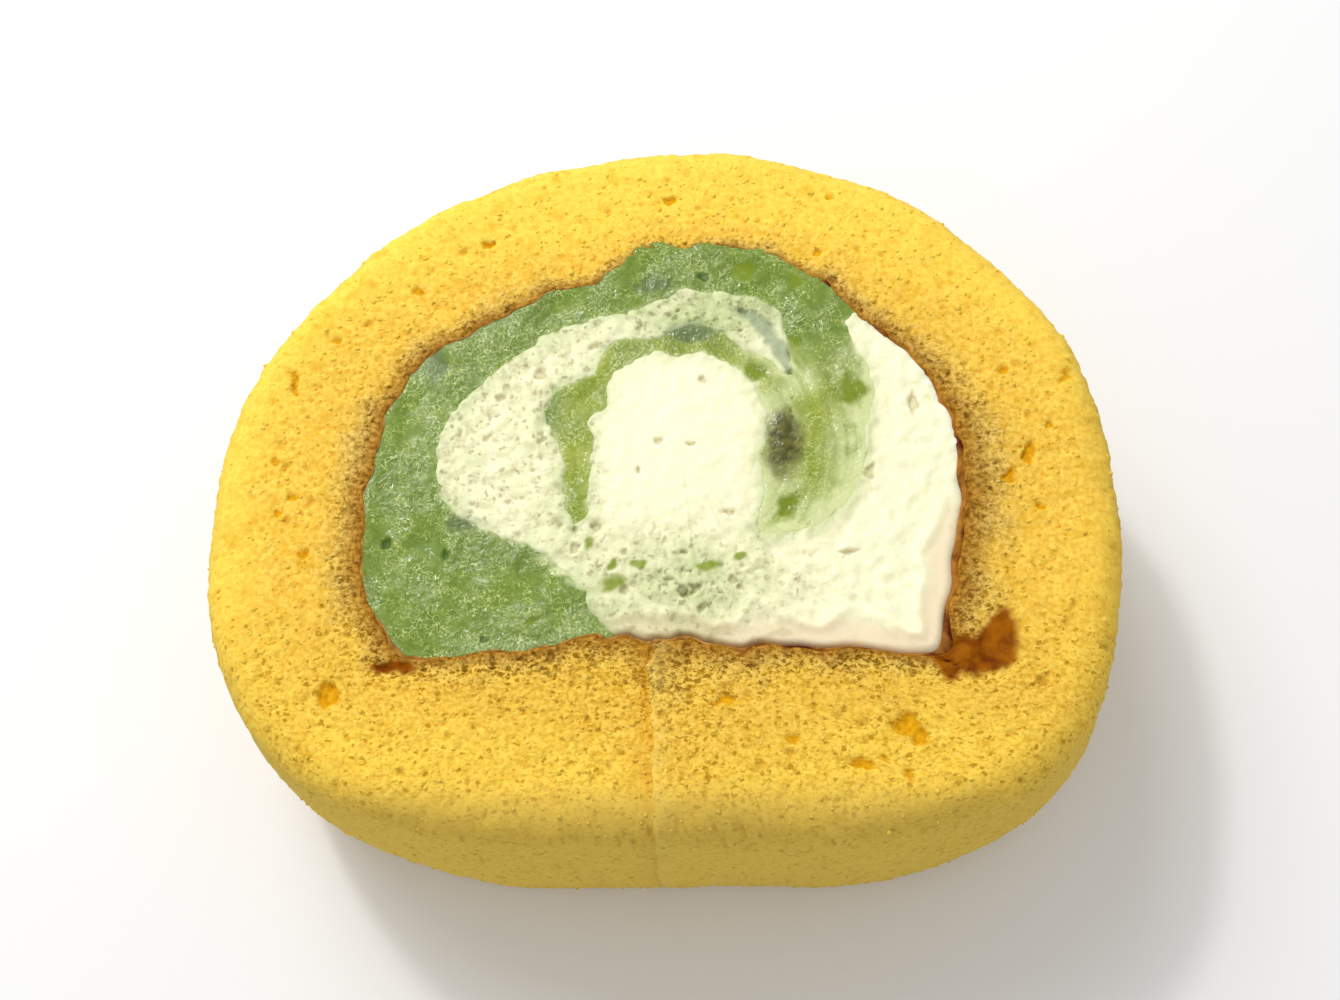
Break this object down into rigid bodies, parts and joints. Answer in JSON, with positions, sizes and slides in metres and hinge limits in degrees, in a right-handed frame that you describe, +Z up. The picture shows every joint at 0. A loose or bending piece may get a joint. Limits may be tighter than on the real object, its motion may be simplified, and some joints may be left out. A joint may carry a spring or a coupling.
{
  "type": "swiss roll cake slice",
  "caption": "Slice of swiss roll cake lying on its cut face: yellow sponge bent into a D round a swirl of whipped cream and green fruit sauce.",
  "frame": {"origin": "on the lower cut, under the middle of the slice's bounding box", "axes": "+Z up through the swirl, +X along the flat side to the right of the shown face, +Y from the flat side to the rounded back"},
  "size_m": [0.0937, 0.0772, 0.0339],
  "materials": {
    "sponge": "matt, open yellow crumb",
    "cream": "satin whipped dairy cream",
    "sauce": "wet, glossy green fruit sauce"
  },
  "bodies": {
    "root": {"sponge": "sponge", "whipped_cream": "cream", "green_sauce": "sauce"}
  },
  "joints": []
}
